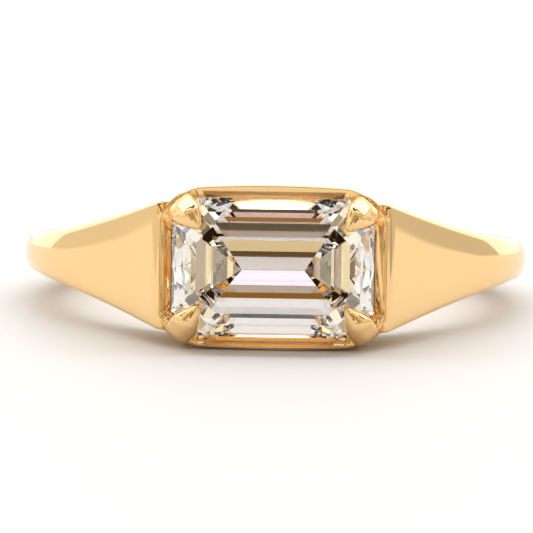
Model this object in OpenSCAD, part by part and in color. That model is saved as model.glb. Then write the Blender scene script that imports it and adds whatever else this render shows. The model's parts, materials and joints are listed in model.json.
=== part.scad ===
// East west ring: a cut-corner step-cut stone set with its long side across the finger, in a box head
// on a slim band with tapered shoulders. Lengths are in millimetres. The ring lies on its side, on
// the lower edge of its head and on the back of its band.

/* [Band] */
// Diameter of the finger hole
bore_d = 16.5; // [15:0.1:19]
// Thickness of the band at its back and sides
band_t = 1.7; // [1.4:0.05:2.2]
// Width of the band at its back and sides
band_w = 1.5; // [1.2:0.1:2.4]
// Height of the dome across the outer face of the band at its back
band_dome = 0.18; // [0.1:0.05:0.4]
// Width of the rounding beside the dome at the back of the band
band_round = 0.2; // [0.05:0.01:0.3]

/* [Shoulders] */
// Width of a shoulder where it meets the head
shoulder_w = 4.92; // [3.5:0.1:5.2]
// Height of the dome across a shoulder where it meets the head
shoulder_dome = 0.16; // [0.05:0.01:0.3]
// How far a shoulder's face starts below the rim of the head
shoulder_drop = 0.06; // [0.02:0.01:0.2]
// Angle from the middle of the head at which a shoulder is as narrow as the band
shoulder_end = 76; // [65:1:85]

/* [Stone] */
// Length of the stone
stone_l = 7.66; // [6:0.1:8]
// Width of the stone
stone_w = 5.26; // [4.5:0.1:5.5]
// How much of each corner the cut takes, along either side
stone_cut = 0.95; // [0.5:0.05:1.1]
// Thickness of the girdle
girdle_t = 0.12; // [0.06:0.02:0.2]
// How far the keel under the stone lies off its middle
keel_shift = 0.12; // [0:0.01:0.2]
// Height of the middle of the girdle above the middle of the finger
girdle_h = 11.12; // [11.1:0.05:12]
// Gap left between the stone and the gold
stone_gap = 0.03; // [0.02:0.01:0.08]

/* [Head] */
// Thickness of the head's long walls at the rim
wall_t = 0.37; // [0.3:0.01:0.6]
// Thickness of the head's end walls at the rim
end_t = 0.5; // [0.3:0.02:0.8]
// How far the long walls bulge outwards at their middle
wall_bulge = 0.1; // [0:0.02:0.2]
// How far the head narrows for each millimetre down to the finger
wall_taper = 0.15; // [0.13:0.01:0.2]
// Width of the softened outer edge of the rim
rim_edge = 0.13; // [0.05:0.01:0.2]
// Where a long wall ends and the corner begins, from the middle of the stone
corner_x = 2.95; // [2.5:0.05:3.2]
// How far the corner leans in towards the shoulder
corner_z = 1.12; // [0.8:0.02:1.4]
// How round the corner is, from 0 for a straight line to 1 for a quarter of an ellipse
corner_round = 0.5; // [0:0.1:1]

/* [Claws] */
// Width of a claw where it is widest
claw_w = 1.16; // [0.8:0.02:1.3]
// Height of a claw's tip above the stone's table
claw_h = 0.12; // [0.05:0.01:0.25]

/* [Hidden] */
$fn = 96;

gold = [0.87, 0.68, 0.38];
clear = [0.92, 0.94, 0.97];

// Steps of the cut, from the girdle inwards. Columns: width of the step, slope in degrees, how much
// of the corner cut is left at its inner edge, and that edge's share of the keel's shift
WIDTH = 0;
SLOPE = 1;
CORNER = 2;
SHIFT = 3;
CROWN = [[0.16, 46.5, 0.97, 0], [0.36, 43.2, 0.89, 0], [0.40, 29.7, 0.81, 0]];
PAVILION = [[0.57, 48, 0.66, 0.37], [0.90, 46.4, 0.33, 0.1], [1.16, 40, 0, 1]];

// How far in, and how far up or down, the first i steps of a cut lead
function step_in(cut, i) = i < 1 ? 0 : cut[i - 1][WIDTH] + step_in(cut, i - 1);
function step_up(cut, i) = i < 1 ? 0 : cut[i - 1][WIDTH] * tan(cut[i - 1][SLOPE]) + step_up(cut, i - 1);
function corner_left(cut, i) = i < 1 ? 1 : cut[i - 1][CORNER];
function shift_at(cut, i) = i < 1 ? 0 : -keel_shift * cut[i - 1][SHIFT];

bore_r = bore_d / 2;
side_r = bore_r + band_t;
stone_hl = stone_l / 2;
stone_hw = stone_w / 2;
crown_h = step_up(CROWN, 3);
table_h = girdle_h + girdle_t / 2 + crown_h;
rim_h = girdle_h + girdle_t / 2 - 0.04;
head_hl = stone_hl + stone_gap + end_t;
head_hw = stone_hw + stone_gap + wall_t;

// The shoulder's face is a straight line from the head that touches the band's circle
root_x = head_hl;
root_h = rim_h - shoulder_drop;
root_r = sqrt(root_x * root_x + root_h * root_h);
root_a = atan(root_x / root_h);
touch_a = root_a + acos(side_r / root_r);
taper_end_x = side_r * sin(shoulder_end);

// The lying ring touches the floor with the head's rim and the band's back
rest_h = rim_h - rim_edge;
back_touch = side_r - band_dome - band_round;
tilt = atan((head_hw + wall_bulge - band_w / 2) / (rest_h + back_touch));
lift = (head_hw + wall_bulge) * cos(tilt) - rest_h * sin(tilt);
front = (table_h + claw_h) * cos(tilt) + 1.6 * sin(tilt);
middle_y = (front - side_r * cos(tilt)) / 2;

// Eight-sided outline of a stone, in the plane of its girdle
function cut_outline(hl, hw, c) = [
    [hl, c - hw], [hl, hw - c], [hl - c, hw], [c - hl, hw],
    [-hl, hw - c], [-hl, c - hw], [c - hl, -hw], [hl - c, -hw]
];
function at_height(outline, h) = [for (p = outline) [p[0], h, p[1]]];

// A closed solid through sections that all have the same number of points
module loft(sections) {
    n = len(sections);
    m = len(sections[0]);
    sides = [
        for (i = [0:n - 2], j = [0:m - 1], half = [0, 1])
            let (a = i * m + j, b = i * m + (j + 1) % m)
            half == 0 ? [a, b, b + m] : [a, b + m, a + m]
    ];
    first = [for (j = [m - 1:-1:0]) j];
    last = [for (j = [0:m - 1]) (n - 1) * m + j];
    polyhedron([for (s = sections, p = s) p], concat([first], sides, [last]));
}

// Half the band's width, its outer radius, its dome and its rounding, by angle from the head
function taper(a) = a > 90 ? 0 :
    let (x = outer_r(a) * sin(a))
    max(0, min(1, (taper_end_x - x) / (taper_end_x - root_x)));
function half_w(a) = band_w / 2 + (shoulder_w - band_w) / 2 * taper(a);
function outer_r(a) = a > touch_a ? side_r : min(side_r / cos(touch_a - a), root_h / cos(a));
function dome(a) = band_dome + (shoulder_dome - band_dome) * taper(a);
function rounding(a) = band_round * (1 - 0.6 * taper(a));

function band_section(a) =
    let (h = half_w(a), r = outer_r(a), d = dome(a), e = rounding(a), z = h - e, inner = bore_r - 0.5)
    [
        [inner, h], [r - d - e, h], [r - d - e * 0.3, h - e * 0.3],
        for (k = [1:-0.25:-1]) [r - d * k * k, z * k],
        [r - d - e * 0.3, e * 0.3 - h], [r - d - e, -h], [inner, -h]
    ];
function around(section, a) = [for (p = section) [p[0] * sin(a), p[0] * cos(a), p[1]]];

module band() {
    half = concat([16, root_a], [for (a = [25:5:50]) a], [touch_a], [for (a = [60:5:175]) a]);
    stations = concat(half, [180], [for (i = [len(half) - 1:-1:0]) 360 - half[i]]);
    loft([for (a = stations) around(band_section(a > 180 ? 360 - a : a), a)]);
}

// Outline of the head: bulging long walls, corners that lean in, straight ends
function head_outline(inset) =
    let (
        x = head_hl - inset, w = head_hw - inset,
        long_x = corner_x - inset * 0.3,
        corner = [
            for (t = [0, 0.3, 0.55, 0.8, 1])
                let (bend = [cos(90 * t), sin(90 * t)], line = [1 - t, t], part = line + (bend - line) * corner_round)
                [long_x + (x - long_x) * part[0], w - corner_z * (1 - part[1])]
        ],
        quarter = concat(corner, [[1.6, w + wall_bulge * 0.75], [0, w + wall_bulge]]),
        half = concat(quarter, [for (i = [len(quarter) - 2:-1:0]) [-quarter[i][0], quarter[i][1]]])
    )
    concat(half, [for (p = half) [-p[0], -p[1]]]);

module head() {
    depth = rest_h - bore_r + 1.5;
    levels = [
        [rest_h - depth, depth * wall_taper],
        [rest_h, 0],
        [rim_h - rim_edge * 0.35, rim_edge * 0.3],
        [rim_h - 0.04, rim_edge],
        [rim_h, end_t + 0.1]
    ];
    loft([for (l = levels) at_height(head_outline(l[1]), l[0])]);
}

// A claw grows out of the head's corner, folds over the girdle and ends above the table's corner.
// Columns: how far along the claw, share of its full width, height of its ridge
ALONG = 0;
SHARE = 1;
RIDGE = 2;
claw_root = [head_hl - 0.78, head_hw - 0.5];
claw_tip = [stone_hl - 1.02, stone_hw - 1.13];
claw_low = rim_h - 0.9;
tip_h = table_h + claw_h;
CLAW = [
    [-0.14, 0.4, rim_h - 0.3],
    [-0.09, 0.7, rim_h - 0.02],
    [0.02, 0.91, rim_h + 0.3],
    [0.18, 1, rim_h + 0.55],
    [0.38, 0.97, tip_h - 0.06],
    [0.58, 0.8, tip_h],
    [0.76, 0.56, tip_h],
    [0.9, 0.3, tip_h - 0.03],
    [1, 0.08, tip_h - 0.09]
];

// Half of a claw's cross-section. Columns: share of the half width, share of the drop from the ridge
CLAW_SIDE = [[0.25, 0.12], [0.6, 0.6], [0.88, 1.25], [1, 2.2]];

function claw_section(row) =
    let (
        along = claw_tip - claw_root,
        side = [along[1], -along[0]] / norm(along),
        foot = claw_root + along * row[ALONG],
        foot_low = foot + along / norm(along) * (rim_h - claw_low) * wall_taper,
        w = claw_w / 2 * row[SHARE],
        drop = 0.25 * row[SHARE],
        half = [for (p = CLAW_SIDE) [p[0] * w, row[RIDGE] - drop * p[1]]],
        top = concat([for (i = [3:-1:0]) [-half[i][0], half[i][1]]], [[0, row[RIDGE]]], half),
        low = [foot_low - side * w, foot_low + side * w]
    )
    concat(
        [[low[0][0], claw_low, low[0][1]]],
        [for (p = top) let (at = foot + side * p[0]) [at[0], p[1], at[1]]],
        [[low[1][0], claw_low, low[1][1]]]
    );

module claw() {
    loft([for (row = CLAW) claw_section(row)]);
}

// The cut stone, with all its faces moved out by grow
module cut_stone(grow) {
    hl = stone_hl + grow;
    hw = stone_hw + grow;
    g = girdle_t / 2;
    levels = concat(
        [
            for (i = [3:-1:0])
                let (low = step_up(PAVILION, i) + (i == 3 ? 1.2 * grow : 0), inset = step_in(PAVILION, i))
                [girdle_h - g - low, inset, corner_left(PAVILION, i), shift_at(PAVILION, i)]
        ],
        [
            for (i = [0:3])
                [
                    girdle_h + g + step_up(CROWN, i) + (i == 3 ? grow : 0), step_in(CROWN, i),
                    corner_left(CROWN, i), shift_at(CROWN, i)
                ]
        ]
    );
    loft([
        for (l = levels)
            let (rest = max(hw - l[1], 0.01), c = max(stone_cut * l[2], 0.004))
            [for (p = at_height(cut_outline(hl - l[1], rest, c), l[0])) p + [0, 0, l[3]]]
    ]);
}

module gallery() {
    outline = cut_outline(stone_hl - 0.5, stone_hw - 0.5, 0.5);
    loft([at_height(outline, bore_r - 2.5), at_height(outline, girdle_h - 0.3)]);
}

module lying() {
    translate([0, middle_y, lift]) rotate([-tilt, 0, 0]) rotate([0, 0, 180]) children();
}

module mount() {
    color(gold) lying() difference() {
        union() {
            band();
            head();
            for (x = [0, 1], z = [0, 1]) mirror([x, 0, 0]) mirror([0, 0, z]) claw();
        }
        cylinder(r = bore_r, h = 12, center = true);
        gallery();
        cut_stone(stone_gap);
    }
}

module stone() {
    color(clear) lying() cut_stone(0);
}

mount();
stone();
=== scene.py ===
# %% [markdown]
# An east west ring: a cut-corner step-cut stone lies lengthwise across the finger, in a low box head
# on a slim gold band. The ring lies on its side, as a plain ring does. The imported model is loaded
# first, because every piece made here is placed by it, and nothing here moves or resizes it.

# %% Load the imported model
import json
from math import acos, atan, atan2, copysign, cos, degrees, hypot, pi, radians, sin, tan

import bmesh
import bpy
from mathutils import Matrix, Vector


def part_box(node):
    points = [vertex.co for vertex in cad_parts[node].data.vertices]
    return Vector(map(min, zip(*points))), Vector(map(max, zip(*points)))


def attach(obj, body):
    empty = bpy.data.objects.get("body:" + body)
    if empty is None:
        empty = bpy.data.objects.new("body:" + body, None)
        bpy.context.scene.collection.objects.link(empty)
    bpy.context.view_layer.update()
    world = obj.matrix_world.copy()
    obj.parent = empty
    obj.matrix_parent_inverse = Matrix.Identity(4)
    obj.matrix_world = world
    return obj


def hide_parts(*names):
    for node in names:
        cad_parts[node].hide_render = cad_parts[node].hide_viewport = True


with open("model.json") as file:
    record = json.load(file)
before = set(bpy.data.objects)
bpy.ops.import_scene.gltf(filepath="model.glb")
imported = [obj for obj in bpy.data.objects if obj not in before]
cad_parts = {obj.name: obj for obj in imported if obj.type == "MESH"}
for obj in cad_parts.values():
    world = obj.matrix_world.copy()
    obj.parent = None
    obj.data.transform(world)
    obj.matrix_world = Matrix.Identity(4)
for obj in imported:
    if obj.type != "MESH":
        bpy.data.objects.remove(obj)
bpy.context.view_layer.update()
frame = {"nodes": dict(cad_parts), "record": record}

# %% [markdown]
# A ring is easiest to model upright in its own axes: Z through the finger, Y out through the stone
# and X along the stone. The record says where the finger hole is and how it leans, so those axes
# are worked out from it. Pieces are drawn in millimetres and moved into place as the last step.
# They could be drawn where they lie, but then no loop or section would be level or square.

# %% The ring's own axes
MM = 0.001
bore = next(m for m in frame["record"]["mounts"] if m["name"] == "finger_bore")
middle = Vector(bore["pos_m"])
finger = Vector(bore["axis"]).normalized()
stone_low, stone_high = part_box("stone")
outwards = (stone_low + stone_high) / 2 - middle
outwards = (outwards - finger * outwards.dot(finger)).normalized()
along = outwards.cross(finger)
to_world = Matrix.Translation(middle) @ Matrix((along, outwards, finger)).transposed().to_4x4()
to_world = to_world @ Matrix.Scale(MM, 4)
to_ring = to_world.inverted()
lean = degrees(atan2(finger.y, finger.z))
print("the finger hole leans", round(lean, 2), "degrees")


def in_ring(node):
    """Lowest and highest corner of a CAD node in the ring's own axes, in millimetres."""
    points = [to_ring @ v.co for v in frame["nodes"][node].data.vertices]
    return [Vector([pick(p[i] for p in points) for i in range(3)]) for pick in (min, max)]


stone_hl, table_h, stone_hw = in_ring("stone")[1]
print("stone", round(stone_hl * 2, 2), "by", round(stone_hw * 2, 2), "table at", round(table_h, 2))

# %% [markdown]
# These few sizes drive the gold, in millimetres. The frame gives the finger hole's radius, the
# stone's length and width, and the height of its table. The rest is said here, first for the band.
# ROUND_FADE is how much of the band's rounded edge is lost on the way up a shoulder. The shoulder's
# sides run in a slight hollow, and it meets the head SHOULDER_DROP below the rim. From ROOT_IN inside
# the head's end, the band's top sinks by ROOT_DEEP, so that it never shows above the wall.

# %% Sizes of the band and the shoulders
BORE_R = bore["dims"]["r_mm"]
BORE_SOFT = 0.12
BAND_T = 1.7
BAND_HALF = 0.75
BAND_DOME = 0.12
BAND_ROUND = 0.26
ROUND_FADE = 0.65
SHOULDER_HALF = 2.46
SHOULDER_DOME = 0.12
SHOULDER_HOLLOW = 0.2
SHOULDER_END = radians(76)
SHOULDER_DROP = 0.2
ROOT_IN = 0.05
ROOT_STEP = 0.25
ROOT_DEEP = 0.64

# %% [markdown]
# The head's own sizes are its walls, how much they taper towards the finger, and how the stone sits
# in it: a hair of room all round, and the rim RIM_SINK below the upper edge of the stone's girdle. A
# straight shoulder touches the round band at one angle, which these sizes settle.

# %% Sizes of the head
WALL_T = 0.37
END_T = 0.5
WALL_TAPER = 0.15
STONE_GAP = 0.03
CROWN_H = 0.735
RIM_SINK = 0.04
RIM_EDGE = 0.13

rim_h = table_h - CROWN_H - RIM_SINK
side_r = BORE_R + BAND_T
head_hl = stone_hl + STONE_GAP + END_T
head_hw = stone_hw + STONE_GAP + WALL_T
root_h = rim_h - SHOULDER_DROP
touch_a = atan(head_hl / root_h) + acos(side_r / hypot(head_hl, root_h))
print("rim at", round(rim_h, 2), "head", round(head_hl * 2, 2), "by", round(head_hw * 2, 2))
print("the shoulders touch the band", round(degrees(touch_a), 1), "degrees from the stone")

# %% [markdown]
# Every piece ends the same way. The bmesh moves from the ring's axes to its place, its normals are
# turned outwards and it is shaded smooth, with only the true edges kept crisp. Flat shading would
# show every face of the band in its polish.

# %% A mesh object from a bmesh
CRISP = radians(28)


def shade(mesh):
    for face in mesh.polygons:
        face.use_smooth = True
    mesh.set_sharp_from_angle(angle=CRISP)


def piece_from(name, bm):
    bmesh.ops.transform(bm, matrix=to_world, verts=bm.verts)
    bmesh.ops.recalc_face_normals(bm, faces=bm.faces)
    mesh = bpy.data.meshes.new(name)
    bm.to_mesh(mesh)
    bm.free()
    shade(mesh)
    piece = bpy.data.objects.new(name, mesh)
    bpy.context.scene.collection.objects.link(piece)
    return piece


def verts_in(geom):
    return [v for v in geom if isinstance(v, bmesh.types.BMVert)]


# %% [markdown]
# The head's plan is worked out once and used twice: for the head itself, and for the band, which
# has to be as wide as the head's walls where it runs under them. It has two long walls with a
# slight bulge, a leaning corner in two straight parts at each end of them, and short straight ends.
# A plain rectangle with bevelled corners would miss that lean.

# %% Plan of the head
CORNER_X = 2.95
CORNER_Z = 1.12
CORNER_MID = (0.61, 0.67)
WALL_BULGE = 0.1


def plan_quarter():
    """The three corners of the plan's leaning part, from the end to the long wall."""
    mid_x = CORNER_X + (head_hl - CORNER_X) * CORNER_MID[0]
    mid_z = head_hw - CORNER_Z * (1 - CORNER_MID[1])
    return [(head_hl, head_hw - CORNER_Z), (mid_x, mid_z), (CORNER_X, head_hw)]


def plan_half_width(x, inset):
    """How far the head reaches to either side of its middle line, at x from its middle."""
    x = abs(x) + inset
    if x <= CORNER_X:
        return head_hw - inset + WALL_BULGE * (1 - (x / CORNER_X) ** 2)
    corner = plan_quarter()
    for (x1, z1), (x2, z2) in zip(corner, corner[1:]):
        if x2 <= x < x1:
            return z2 + (z1 - z2) * (x - x2) / (x1 - x2) - inset
    return 0.0


print("the corner leans in from", [tuple(round(c, 2) for c in p) for p in plan_quarter()])

# %% [markdown]
# The band and both shoulders are one ring of gold. On the bench it would be forged and filed from
# one bar. Here one section is drawn with few points and spun once round the finger. Each point
# remembers which part of the section it belongs to, so that the ring can then be drawn out: thin
# and domed at the back, wide and nearly flat at the shoulders, and as wide as the head's walls under
# the head. A lofted curve would need a new section for every station, and spinning gives even rows.
# First come the rules for the ring's outside and its width, by the angle from the head.

# %% Outside and width of the band
def outer_r(a):
    """Radius of the outside: a circle at the back, a straight line up each shoulder, flat on top."""
    if a > touch_a:
        return side_r
    sunk = (head_hl - ROOT_IN - root_h * tan(a)) / ROOT_STEP
    top = root_h - ROOT_DEEP * max(0.0, min(1.0, sunk))
    return min(side_r / cos(touch_a - a), top / cos(a))


def taper_at(a):
    """1 where a shoulder meets the head, 0 at the side of the band and behind it."""
    if a > pi / 2:
        return 0.0
    end = side_r * sin(SHOULDER_END)
    return max(0.0, min(1.0, (end - outer_r(a) * sin(a)) / (end - head_hl)))


def half_width(a):
    taper = taper_at(a)
    taper -= SHOULDER_HOLLOW * taper * (1 - taper)
    reach = BAND_HALF + (SHOULDER_HALF - BAND_HALF) * taper
    r = BORE_R + BORE_SOFT
    if r * sin(a) < head_hl and a < pi / 2:
        reach = max(reach, plan_half_width(r * sin(a), WALL_TAPER * (rim_h - RIM_EDGE - r * cos(a))))
    return reach


for station in (0, 40, 60, 90, 180):
    print("at", station, "degrees the band is", round(2 * half_width(radians(station)), 2), "wide")

# %% [markdown]
# The section runs from the finger hole's softened edge, round the band's outer edge, and over its
# domed face. Its points are named by part and by how far along that part they are, from 0 to 1.

# %% Section of the band
EDGE_TURN = radians(72)
DOME_POWER = 2.3


def section_point(part, share, a):
    """Radius and height of one point of the section, at the angle a from the head."""
    taper = taper_at(a)
    h, r = half_width(a), outer_r(a)
    dome = BAND_DOME + (SHOULDER_DOME - BAND_DOME) * taper
    edge = BAND_ROUND * (1 - ROUND_FADE * taper * taper)
    if part == "inside":
        turn = share * pi / 2
        return BORE_R + BORE_SOFT * (1 - cos(turn)), h - BORE_SOFT * (1 - sin(turn))
    if part == "edge":
        turn = share * EDGE_TURN
        drop = edge * (1 - sin(turn) / sin(EDGE_TURN))
        return r - dome - drop, h - edge * (1 - cos(turn)) / (1 - cos(EDGE_TURN))
    return r - dome * share ** DOME_POWER, (h - edge) * share


# %% [markdown]
# Now the section is spun. The spin gives a plain ring of even rows, and then each vertex goes to
# where the rules put it at its own angle. The layer named place keeps the point's number through
# the spin, which is safer than guessing it from the shape afterwards.

# %% Band
FACE_POINTS = 12
EDGE_POINTS = 5
SPIN_STEPS = 288


def band():
    parts = [("inside", k / EDGE_POINTS) for k in range(EDGE_POINTS + 1)]
    parts += [("edge", k / EDGE_POINTS) for k in range(EDGE_POINTS)]
    parts += [("face", 1 - k / FACE_POINTS) for k in range(FACE_POINTS)]
    upper = [(part, share, 1) for part, share in parts]
    lower = [(part, share, -1) for part, share in reversed(parts)]
    section = upper + [("face", 0.0, 1)] + lower
    bm = bmesh.new()
    place = bm.verts.layers.int.new("place")
    loop = []
    for i, (part, share, side) in enumerate(section):
        r, z = section_point(part, share, pi)
        loop.append(bm.verts.new((0, -r, side * z)))
        loop[i][place] = i
    edges = [bm.edges.new((v, w)) for v, w in zip(loop, loop[1:] + loop[:1])]
    bmesh.ops.spin(bm, geom=loop + edges, axis=(0, 0, 1), steps=SPIN_STEPS, angle=2 * pi, use_merge=True)
    for v in bm.verts:
        part, share, side = section[v[place]]
        a = atan2(v.co.x, v.co.y)
        r, z = section_point(part, share, abs(a))
        v.co = (r * sin(a), r * cos(a), side * z)
    print("band", len(bm.faces), "faces")
    return bm


# %% [markdown]
# The head is a box without a bottom. A goldsmith would bend it from strip and solder it, or cast it.
# Its plan starts as one face with twelve corners, which bevel softens, and the long walls are
# divided so that they can bulge. The face is pulled up to the rim, the foot is narrowed, and the top
# is inset and raised a little, so that the rim slopes outwards. The upper wall is filed down a little
# more than the lower one, so its rim slopes more and catches the light from above. Only then is the
# rim's outer edge rounded: rounded before the inset, it would leave a dark valley along the rim.
# A cube with bevelled edges would be quicker, but it has no bulge, no lean and no such rim.

# %% Head
HEAD_FOOT = 6.6
WALL_STEPS = 18
PLAN_SOFT = 0.2
PLAN_SOFT_STEPS = 4
RIM_LOW = 0.12
RIM_TILT = 0.17
RIM_INSET = 0.45
RIM_SLOPE = radians(27)
RIM_STEPS = 5
# Two points closer than this are at the same place
SAME = 1e-4


def head_plan(bm):
    """The foot of the head as one face, with softened corners."""
    quarter = plan_quarter()
    wall = [CORNER_X * (1 - 2 * k / WALL_STEPS) for k in range(1, WALL_STEPS)]
    half = quarter + [(x, plan_half_width(x, 0)) for x in wall] + [(-x, z) for x, z in reversed(quarter)]
    plan = half + [(-x, -z) for x, z in half]
    base = bm.faces.new([bm.verts.new((x, HEAD_FOOT, z)) for x, z in plan])
    corners = [v for v in base.verts if abs(v.co.x) > CORNER_X - SAME]
    bmesh.ops.bevel(bm, geom=corners, offset=PLAN_SOFT, affect="VERTICES", segments=PLAN_SOFT_STEPS,
                    profile=0.5, material=-1)


def top_of(bm):
    """The broad face that closes the head at the top."""
    high = [f for f in bm.faces if f.calc_center_median().y > rim_h - 2 * RIM_LOW]
    return max(high, key=lambda f: f.calc_area())


def head():
    bm = bmesh.new()
    head_plan(bm)
    foot = list(bm.verts)
    grown = bmesh.ops.extrude_face_region(bm, geom=list(bm.faces))
    rise = rim_h - RIM_LOW - HEAD_FOOT
    bmesh.ops.translate(bm, vec=(0, rise, 0), verts=verts_in(grown["geom"]))
    inset = rise * WALL_TAPER
    bmesh.ops.scale(bm, vec=(1 - inset / head_hl, 1, 1 - inset / head_hw), verts=foot)
    bmesh.ops.inset_region(bm, faces=[top_of(bm)], thickness=RIM_INSET, depth=RIM_INSET * tan(RIM_SLOPE))
    edge_h = HEAD_FOOT + rise
    outer = [v for v in bm.verts if abs(v.co.y - edge_h) < SAME]
    edges = [e for e in bm.edges if all(abs(v.co.y - edge_h) < SAME for v in e.verts)]
    for v in outer:
        v.co.y += RIM_TILT * (0.5 - 0.5 * v.co.z / head_hw)
    rim = bmesh.ops.bevel(bm, geom=edges, offset=RIM_EDGE, affect="EDGES", segments=RIM_STEPS,
                          profile=0.5, material=-1)
    print("head", len(bm.faces), "faces,", len(rim["faces"]), "of them round its rim")
    return bm


# %% [markdown]
# A claw is a drop of gold that grows out of the head's corner, folds over the edge of the stone and
# ends in a point on the corner of its table. It is bridged from a few loops, which run from the
# round outer end to the point, and then subdivided smooth. A stretched sphere would have no point
# and no ridge, and loops from a short table keep the whole shape in view. One claw is made for the
# upper side and one for the lower, and each is mirrored to the other end.

# %% Claws
CLAW_HALF = 0.58
CLAW_DROP = 0.25
CLAW_DEEP = 0.9
CLAW_CUTS = 3
UPPER_ROOT = Vector((head_hl - 0.76, head_hw - 0.6))
LOWER_ROOT = Vector((head_hl - 0.74, head_hw - 0.42))
claw_tip = Vector((stone_hl - 1.02, stone_hw - 1.13))
tip_h = table_h + 0.12
claw_low = rim_h - CLAW_DEEP
# Each row is a loop: how far it is from the root to the tip, its share of the width, its ridge's height
CLAW = [
    (-0.14, 0.4, rim_h - 0.3),
    (-0.09, 0.7, rim_h - 0.02),
    (0.02, 0.91, rim_h + 0.3),
    (0.18, 1.0, rim_h + 0.55),
    (0.38, 0.97, tip_h - 0.06),
    (0.58, 0.8, tip_h),
    (0.76, 0.56, tip_h),
    (0.9, 0.3, tip_h - 0.03),
    (1.0, 0.08, tip_h - 0.09),
]
# Across a loop: the share of its half width, and how many drops it lies below the ridge there
CLAW_SIDE = [(1, 2.2), (0.88, 1.25), (0.6, 0.6), (0.25, 0.12)]


def claw(root):
    bm = bmesh.new()
    line = claw_tip - root
    side = Vector((line.y, -line.x)).normalized()
    lean_in = line.normalized() * (rim_h - claw_low) * WALL_TAPER
    across = [(-p, q) for p, q in CLAW_SIDE] + [(0, 0)] + list(reversed(CLAW_SIDE))
    previous = None
    for reach, share, ridge in CLAW:
        foot = root + line * reach
        w = CLAW_HALF * share
        points = [(foot + lean_in - side * w, claw_low)]
        points += [(foot + side * w * p, ridge - CLAW_DROP * share * q) for p, q in across]
        points += [(foot + lean_in + side * w, claw_low)]
        loop = [bm.verts.new((at.x, h, at.y)) for at, h in points]
        edges = [bm.edges.new((v, u)) for v, u in zip(loop, loop[1:] + loop[:1])]
        if previous is None:
            bm.faces.new(loop)
        else:
            bmesh.ops.bridge_loops(bm, edges=previous + edges)
        previous = edges
    bm.faces.new(loop)
    bmesh.ops.recalc_face_normals(bm, faces=bm.faces)
    bmesh.ops.subdivide_edges(bm, edges=bm.edges, cuts=CLAW_CUTS, use_grid_fill=True, smooth=1.0)
    print("claw", len(bm.faces), "faces", sum(1 for e in bm.edges if len(e.link_faces) != 2), "open edges")
    return bm


def pair(bm, lower):
    """The claw and its mirror image at the other end, above or below the middle."""
    if lower:
        bmesh.ops.scale(bm, vec=(1, 1, -1), verts=bm.verts)
    bmesh.ops.mirror(bm, geom=list(bm.verts) + list(bm.edges) + list(bm.faces), merge_dist=-1, axis="X")
    bmesh.ops.recalc_face_normals(bm, faces=bm.faces)
    return bm


# %% [markdown]
# Three hollows are cut from the gold. The finger's cylinder shapes the head's foot, just outside
# the finger hole, so that the band makes the hole's own edge. The gallery is the opening under the
# stone, which lets light and water through. The seat is cut with the stone's own shape, grown by a
# hair, as a jeweller's cutter of that shape would, so the stone fits and never runs into the gold.

# %% Shapes that are cut away
FINGER_SIDES = 256
FINGER_DEPTH = 12
GALLERY_INSET = 0.5
GALLERY_SOFT = 0.12
GALLERY_SOFT_STEPS = 3
# The gallery runs from this far inside the finger hole to this far under the rim
GALLERY_LOW = 2
GALLERY_TOP = 0.3
MIDDLE_NEAR = 0.3


def cylinder(radius):
    bm = bmesh.new()
    bmesh.ops.create_cone(bm, cap_ends=True, segments=FINGER_SIDES, radius1=radius, radius2=radius,
                          depth=FINGER_DEPTH)
    return bm


def gallery():
    bm = bmesh.new()
    x, z, c = stone_hl - GALLERY_INSET, stone_hw - GALLERY_INSET, GALLERY_INSET
    half = [(x, c - z), (x, z - c), (x - c, z), (c - x, z)]
    plan = half + [(-p, -q) for p, q in half]
    face = bm.faces.new([bm.verts.new((p, BORE_R - GALLERY_LOW, q)) for p, q in plan])
    bmesh.ops.bevel(bm, geom=list(face.verts), offset=GALLERY_SOFT, affect="VERTICES",
                    segments=GALLERY_SOFT_STEPS, profile=0.5, material=-1)
    up = bmesh.ops.extrude_face_region(bm, geom=list(bm.faces))
    rise = rim_h - BORE_R + (GALLERY_LOW - GALLERY_TOP)
    bmesh.ops.translate(bm, vec=(0, rise, 0), verts=verts_in(up["geom"]))
    bmesh.ops.recalc_face_normals(bm, faces=bm.faces)
    return bm


def seat():
    """The stone, grown by the gap along each axis on which a point is well off the middle."""
    bm = bmesh.new()
    bm.from_mesh(frame["nodes"]["stone"].data)
    bmesh.ops.transform(bm, matrix=to_ring, verts=bm.verts)
    bmesh.ops.remove_doubles(bm, verts=bm.verts, dist=SAME)
    for v in bm.verts:
        away = v.co - Vector((0, rim_h, 0))
        v.co += Vector([copysign(STONE_GAP, d) if abs(d) > MIDDLE_NEAR else 0 for d in away])
    bmesh.ops.recalc_face_normals(bm, faces=bm.faces)
    return bm


# %% [markdown]
# On the real ring all the gold is one casting. The shapes are joined and cut one after another with
# exact booleans. Overlapping pieces would look the same from outside, but their hidden walls would
# show through the open back. Each result replaces the mesh, so no modifier stays live.

# %% Join and cut the gold
def combine(name, base, *steps):
    piece = piece_from(name, base)
    for operation, tool in steps:
        other = piece_from("tool", tool)
        modifier = piece.modifiers.new("join", "BOOLEAN")
        modifier.operation = operation
        modifier.solver = "EXACT"
        modifier.object = other
        depsgraph = bpy.context.evaluated_depsgraph_get()
        mesh = bpy.data.meshes.new_from_object(piece.evaluated_get(depsgraph))
        piece.modifiers.clear()
        spent = piece.data
        piece.data = mesh
        bpy.data.meshes.remove(spent)
        bpy.data.objects.remove(other)
        print(name, operation.lower(), len(mesh.polygons), "faces")
    return piece


def shape_of(piece):
    """The finished mesh of a helper piece as a bmesh in the ring's axes. The piece is removed."""
    bm = bmesh.new()
    bm.from_mesh(piece.data)
    bmesh.ops.transform(bm, matrix=to_ring, verts=bm.verts)
    bpy.data.objects.remove(piece)
    return bm


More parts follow.
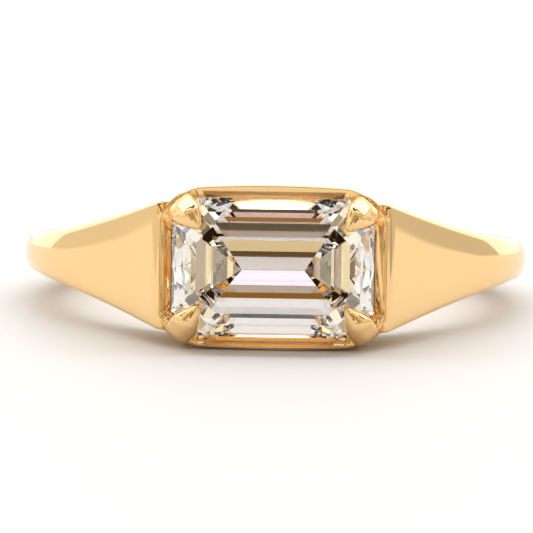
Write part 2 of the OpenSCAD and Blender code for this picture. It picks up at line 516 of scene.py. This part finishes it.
FOOT_R = BORE_R + BORE_SOFT * 0.8
head_shape = shape_of(combine("head", head(), ("DIFFERENCE", cylinder(FOOT_R))))
gold = combine(
    "gold_mount",
    band(),
    ("UNION", head_shape),
    ("UNION", pair(claw(UPPER_ROOT), False)),
    ("UNION", pair(claw(LOWER_ROOT), True)),
    ("DIFFERENCE", gallery()),
    ("DIFFERENCE", seat()),
)
gold.data.materials.clear()
shade(gold.data)
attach(gold, "root")
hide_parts("mount")

# %% [markdown]
# A finish is a tree of nodes. Two helpers build it: one sets a socket, by a link or a plain value,
# and one adds any node, with its settings first and its sockets after them. Each node could be
# added and linked by hand, but then four lines would say what one says here.

# %% Nodes and sockets
def feed(tree, slot, value):
    """Links a socket or sets a plain value."""
    if isinstance(value, Socket):
        tree.links.new(value.output, slot)
    elif isinstance(value, bpy.types.NodeSocket):
        tree.links.new(value, slot)
    else:
        slot.default_value = value


def add_node(tree, kind, settings=None, **inputs):
    """Adds a node. An underscore in a socket's name stands for a space."""
    node = tree.nodes.new(kind)
    for key, value in (settings or {}).items():
        setattr(node, key, value)
    for key, value in inputs.items():
        feed(tree, node.inputs[key.replace("_", " ")], value)
    return node


# %% [markdown]
# Shader maths reads best as plain sums. This small class wraps one output socket, so that an
# expression such as SMOOTHEST + patches * DULLER adds its Math nodes by itself.

# %% A class for shader maths
class Socket:
    def __init__(self, tree, output):
        self.tree = tree
        self.output = output

    def maths(self, operation, first, second=None):
        node = add_node(self.tree, "ShaderNodeMath", {"operation": operation})
        for slot, value in zip(node.inputs, (first, second)):
            if value is not None:
                feed(self.tree, slot, value)
        return Socket(self.tree, node.outputs[0])

    def __add__(self, other):
        return self.maths("ADD", self, other)

    __radd__ = __add__

    def __sub__(self, other):
        return self.maths("SUBTRACT", self, other)

    def __rsub__(self, other):
        return self.maths("SUBTRACT", other, self)

    def __mul__(self, other):
        return self.maths("MULTIPLY", self, other)

    __rmul__ = __mul__

    def __truediv__(self, other):
        return self.maths("DIVIDE", self, other)

    def __rtruediv__(self, other):
        return self.maths("DIVIDE", other, self)

    def above(self, limit):
        return self.maths("GREATER_THAN", self, limit)

    def between(self, low, high, soft):
        """1 between two values and 0 outside them, with soft edges."""
        rise = (self - (low - soft)) / (soft * 2)
        fall = ((high + soft) - self) / (soft * 2)
        lowest = self.maths("MINIMUM", rise, fall)
        return self.maths("MAXIMUM", self.maths("MINIMUM", lowest, 1.0), 0.0)


# %% [markdown]
# A Math node turns a colour grey, so colours are blended by Mix nodes, and a dot product comes from
# Vector Math. The finishes also share their noise and the start of a material. They read the
# piece's own Object coordinates, which stay with the metal when the camera moves.

# %% Colours, noise and new materials
def mix_colours(tree, share, first, second, blend="MIX"):
    node = add_node(tree, "ShaderNodeMix", {"data_type": "RGBA", "blend_type": blend})
    for index, value in ((0, share), (6, first), (7, second)):
        feed(tree, node.inputs[index], value)
    return Socket(tree, node.outputs[2])


def reach_along(tree, vector, axis):
    """How far a point or a ray reaches along an axis: their dot product."""
    node = add_node(tree, "ShaderNodeVectorMath", {"operation": "DOT_PRODUCT"})
    feed(tree, node.inputs[0], vector)
    feed(tree, node.inputs[1], tuple(axis))
    return Socket(tree, node.outputs["Value"])


def noise(tree, vector, scale, detail):
    node = add_node(tree, "ShaderNodeTexNoise", Vector=vector, Scale=scale, Detail=detail)
    return Socket(tree, node.outputs[0])


def new_material(name):
    material = bpy.data.materials.new(name)
    material.use_nodes = True
    tree = material.node_tree
    shader = tree.nodes["Principled BSDF"]
    place = add_node(tree, "ShaderNodeTexCoord").outputs["Object"]
    return material, tree, shader, place


# %% [markdown]
# Polished yellow gold is a metal with a warm tint and almost no roughness. What makes it look real
# is what polishing leaves: a very faint waviness two or three millimetres wide, hair-fine swirls,
# and patches that are a touch duller and deeper in colour. All of it comes from noise, with scales
# in cycles per metre. Modelled waves would need far more faces than a bump this shallow.

# %% Gold finish
GOLD = (0.955, 0.67, 0.338, 1)
DEEPER = (0.97, 0.95, 0.9, 1)
WAVES = 420.0
PATCHES = 260.0
SWIRLS = (9000.0, 9000.0, 60000.0)
SWIRL_TURN = (0.3, 0.2, 0.4)
SWIRL_SHARE = 0.05
WAVE_HEIGHT = 0.000004
WAVE_STRENGTH = 0.5
SMOOTHEST = 0.05
DULLER = 0.06
gold_finish, tree, shader, place = new_material("polished_gold")
waves = noise(tree, place, WAVES, 1.0)
stretched = add_node(tree, "ShaderNodeMapping", Vector=place, Scale=SWIRLS, Rotation=SWIRL_TURN)
swirls = noise(tree, stretched.outputs[0], 1.0, 2.0)
patches = noise(tree, place, PATCHES, 3.0)
height = waves + swirls * SWIRL_SHARE
bump = add_node(tree, "ShaderNodeBump", Strength=WAVE_STRENGTH, Distance=WAVE_HEIGHT, Height=height)
feed(tree, shader.inputs["Normal"], bump.outputs[0])
feed(tree, shader.inputs["Roughness"], SMOOTHEST + patches * DULLER)
deeper_gold = tuple(c * d for c, d in zip(GOLD, DEEPER))
feed(tree, shader.inputs["Base Color"], mix_colours(tree, patches, GOLD, deeper_gold))
shader.inputs["Metallic"].default_value = 1.0
gold.data.materials.append(gold_finish)
print("gold finish", len(tree.nodes), "nodes")

# %% [markdown]
# The stone keeps its CAD shape, because its facets are already exact. Its finish is clear, with the
# strong bending of light that makes a cut stone sparkle. Its girdle, the thin band round its edge,
# is left frosted by the cutter, so roughness rises there, between two heights in metres. A faint
# tint drifts through the rest. A Glass shader would look much the same, but the roughness and the
# tint are exported from this one.

# %% Clear stone
BENDING = 2.417
GIRDLE_DROP = 0.06
GIRDLE_HALF = 0.00005
GIRDLE_SOFT = 0.00001
FROSTED = 0.3
WARM_CLEAR = (1, 0.995, 0.985, 1)
COOL_CLEAR = (0.985, 0.985, 1, 1)
DRIFT = 500.0
clear, tree, shader, place = new_material("clear_stone")
axis = to_world.to_3x3() @ Vector((0, 1, 0))
axis.normalize()
girdle_at = (to_world @ Vector((0, rim_h + RIM_SINK - GIRDLE_DROP, 0))).dot(axis)
out_from = reach_along(tree, place, axis)
girdle = out_from.between(girdle_at - GIRDLE_HALF, girdle_at + GIRDLE_HALF, GIRDLE_SOFT)
feed(tree, shader.inputs["Roughness"], girdle * FROSTED)
drift = noise(tree, place, DRIFT, 1.0)
feed(tree, shader.inputs["Base Color"], mix_colours(tree, drift, WARM_CLEAR, COOL_CLEAR))
shader.inputs["IOR"].default_value = BENDING
shader.inputs["Transmission Weight"].default_value = 1.0
for slot in frame["nodes"]["stone"].material_slots:
    slot.material = clear
print("stone finish", len(tree.nodes), "nodes")

# %% [markdown]
# The floor is a plain pale sheet, large enough to be seen white to its far edge. It is a touch warm
# and not quite white, so that the strong light brings it to white only where no shadow falls.

# %% Floor
FLOOR_HALF = 0.6
PALE = (0.7, 0.688, 0.672, 1)
MATT = 0.6
floor_bm = bmesh.new()
bmesh.ops.create_grid(floor_bm, x_segments=2, y_segments=2, size=FLOOR_HALF)
floor_mesh = bpy.data.meshes.new("floor")
floor_bm.to_mesh(floor_mesh)
floor_bm.free()
floor = bpy.data.objects.new("floor", floor_mesh)
bpy.context.scene.collection.objects.link(floor)
floor_finish = new_material("pale_floor")[0]
shader = floor_finish.node_tree.nodes["Principled BSDF"]
shader.inputs["Base Color"].default_value = PALE
shader.inputs["Roughness"].default_value = MATT
floor.data.materials.append(floor_finish)
print("floor", FLOOR_HALF * 2, "metres across")

# %% [markdown]
# A cut stone and polished gold show nothing but their surroundings, so the studio is drawn with
# care. It is a pale tent with a strong light just behind the zenith, so that the shadow falls to
# the front. Near the lens there is what a studio has: the dark lens, and cards and gaps between the
# lights. OVER and BEYOND list what stands above the lens, by its angle over the lens in degrees.
# ACROSS lists what stands beside the lens, and ENDS what stands far to either side, by its height.
# Each long facet of a step cut shows one row of OVER, and that makes the stone's stripes. Area
# lights could do the same, but a narrow card is easier to place by its angle than by its position.

# %% What stands round the ring
LENS_LIFT = 2.8
NEAR = 62
LOWEST = -8
BRIGHTEST = 8.0
# Each row is the angle at which a card starts, and its colour and brightness
OVER = [
    (LOWEST, (0.12, 0.05, 0.02)),
    (-2.6, (0.34, 0.14, 0.02)),
    (-1.85, (0.07, 0.03, 0.01)),
    (-1, (0.02, 0.02, 0.02)),
    (1.45, (0.5, 0.37, 0.25)),
    (1.9, (0.02, 0.02, 0.02)),
    (12, (0.78, 0.61, 0.32)),
    (13, (0.12, 0.1, 0.06)),
    (17, (0.03, 0.03, 0.03)),
    (20.5, (0.6, 0.55, 0.4)),
    (22, (1.3, 1.2, 1.1)),
    (26, (0.1, 0.07, 0.04)),
    (31, (0.65, 0.38, 0.15)),
    (38, (0.4, 0.5, 0.65)),
    (45.5, (2.4, 2.4, 2.5)),
    (48, (0.4, 0.5, 0.65)),
    (50.8, (1.28, 1.2, 1.42)),
    (52.3, (0.06, 0.06, 0.06)),
    (55, (0.5, 0.38, 0.2)),
]
BEYOND = [
    (NEAR, (1.4, 1.25, 1.0)),
    (77, (0.2, 0.17, 0.13)),
    (90, (7.2, 7.4, 8.0)),
    (98, (2.2, 2.25, 2.3)),
    (118, (1.5, 1.45, 1.35)),
    (127, (0.4, 0.25, 0.1)),
    (130, (1.4, 1.45, 1.5)),
]
ACROSS = [
    (-NEAR, (0.4, 0.3, 0.2)),
    (-54, (1.0, 0.9, 0.5)),
    (-45, (0.4, 0.35, 0.25)),
    (-35, (0.9, 0.75, 0.5)),
    (-20, (1.2, 1.0, 0.6)),
    (-14, (0.45, 0.36, 0.26)),
    (-3, (0.02, 0.02, 0.02)),
    (3, (0.8, 0.68, 0.7)),
    (8, (0.75, 0.6, 0.45)),
    (14, (0.65, 0.5, 0.36)),
    (20, (1.1, 0.92, 0.65)),
    (35, (0.4, 0.35, 0.25)),
    (45, (0.9, 0.75, 0.5)),
]
ENDS = [
    (0, (0.88, 0.85, 0.8)),
    (10, (0.88, 0.86, 0.82)),
    (16, (1.2, 1.15, 1.05)),
]
END_WALL = 0.8
END_CHANGE = 0.1
LENS_WIDTH = sin(radians(3))
print("cards", len(OVER) + len(BEYOND) + len(ACROSS))

# %% [markdown]
# Each table becomes a colour ramp, read by an angle. A ramp holds colours from 0 to 1, so they are
# divided by the brightest value, and the background's strength multiplies them back. The crisp
# tables change in steps, and the one for the ends changes smoothly.

# %% Cards from a table
world = bpy.data.worlds.new("studio")
bpy.context.scene.world = world
world.use_nodes = True
tree = world.node_tree
ray = add_node(tree, "ShaderNodeTexCoord").outputs["Generated"]


def cards(value, low, high, rows, blend="CONSTANT"):
    """Colours by an angle: crisp cards, or a smooth change from one to the next."""
    node = add_node(tree, "ShaderNodeValToRGB", Fac=(value - low) / (high - low))
    ramp = node.color_ramp
    ramp.interpolation = blend
    while len(ramp.elements) < len(rows):
        ramp.elements.new(0.5)
    for element, (degree, colour) in zip(ramp.elements, rows):
        element.position = (degree - low) / (high - low)
        element.color = [c / BRIGHTEST for c in colour] + [1]
    return Socket(tree, node.outputs[0])


# %% [markdown]
# A ray's direction is measured from the lens: how far off it, how far over it, and how much to the
# side. Within NEAR degrees of the lens, a ray that goes more sideways than up sees ACROSS. Farther
# off, one that goes almost straight to a side sees ENDS, of which the left one is a little brighter.
# All others see what stands over the lens. Rays that come straight from the camera see plain white,
# so nothing of this shows behind the ring.

# %% Studio surroundings
lens_way = (outwards * cos(radians(LENS_LIFT)) + finger * sin(radians(LENS_LIFT))).normalized()
lens_top = (finger - lens_way * finger.dot(lens_way)).normalized()
facing = reach_along(tree, ray, lens_way)
up_share = reach_along(tree, ray, lens_top)
side_share = reach_along(tree, ray, along)
off_lens = facing.maths("ARCCOSINE", facing.maths("MINIMUM", facing, 1.0)) * (180 / pi)
over = up_share.maths("ARCTAN2", up_share, facing) * (180 / pi)
side_size = side_share.maths("ABSOLUTE", side_share)
up_size = up_share.maths("ABSOLUTE", up_share)
sideways = side_size - up_size.maths("MAXIMUM", up_size, LENS_WIDTH)
rise = reach_along(tree, ray, (0, 0, 1))
rise = rise.maths("ARCSINE", rise) * (180 / pi)
across = cards(off_lens * side_share.maths("SIGN", side_share), -NEAR, NEAR, ACROSS)
ends = cards(rise, 0, 90, ENDS, "LINEAR")
ends = mix_colours(tree, 1.0, ends, side_share * END_CHANGE + (1 - END_CHANGE), blend="MULTIPLY")
far = off_lens.above(NEAR)
aside = mix_colours(tree, far, sideways.above(0.0), side_size.above(END_WALL))
beyond = cards(over, NEAR, 180, BEYOND)
upright = mix_colours(tree, over.above(NEAR), cards(over, LOWEST, NEAR, OVER), beyond)
seen = mix_colours(tree, aside, upright, mix_colours(tree, far, across, ends))
direct = add_node(tree, "ShaderNodeLightPath").outputs["Is Camera Ray"]
white = (1 / BRIGHTEST, 1 / BRIGHTEST, 1 / BRIGHTEST, 1)
feed(tree, tree.nodes["Background"].inputs["Color"], mix_colours(tree, direct, seen, white))
tree.nodes["Background"].inputs["Strength"].default_value = BRIGHTEST
print("studio", len(tree.nodes), "nodes")

# %% [markdown]
# The camera stands where the photograph's did: nearly level with the ring, a hand's breadth or two
# away, with a long lens. Its field is given by how many pixels a metre covers at one metre, which is
# easier to fit to a picture than a focal length. AIM is in the ring's own millimetres.

# %% Camera
ELEVATION = lean + LENS_LIFT
AZIMUTH = 0.6
ROLL = 0.8
DISTANCE = 0.212
LENS_PIXELS = 5597
PICTURE = 533
SENSOR = 36
NEAREST = 0.01
AIM = Vector((0.246, 11.0, 0.04))
camera_data = bpy.data.cameras.new("camera")
camera = bpy.data.objects.new("camera", camera_data)
camera_data.sensor_width = SENSOR
camera_data.lens = SENSOR * LENS_PIXELS / PICTURE
camera_data.clip_start = NEAREST
swing, raised = radians(AZIMUTH), radians(ELEVATION)
away = Vector((sin(swing) * cos(raised), -cos(swing) * cos(raised), sin(raised)))
camera.location = to_world @ AIM + away * DISTANCE
camera.rotation_euler = (-away).to_track_quat("-Z", "Y").to_euler()
camera.rotation_euler.rotate_axis("Z", radians(ROLL))
bpy.context.scene.collection.objects.link(camera)
bpy.context.scene.camera = camera
print("camera", round(ELEVATION, 1), "degrees above level, lens", round(camera_data.lens), "mm")

# %% [markdown]
# Light crosses a cut stone many times before it leaves, so the number of bounces is raised. The
# view transform is the plain one, because a product picture keeps its whites white.

# %% Bounces and view
STONE_BOUNCES = 24
GOLD_BOUNCES = 12
cycles = bpy.context.scene.cycles
cycles.max_bounces = STONE_BOUNCES
cycles.transmission_bounces = STONE_BOUNCES
cycles.glossy_bounces = GOLD_BOUNCES
bpy.context.scene.view_settings.view_transform = "Standard"
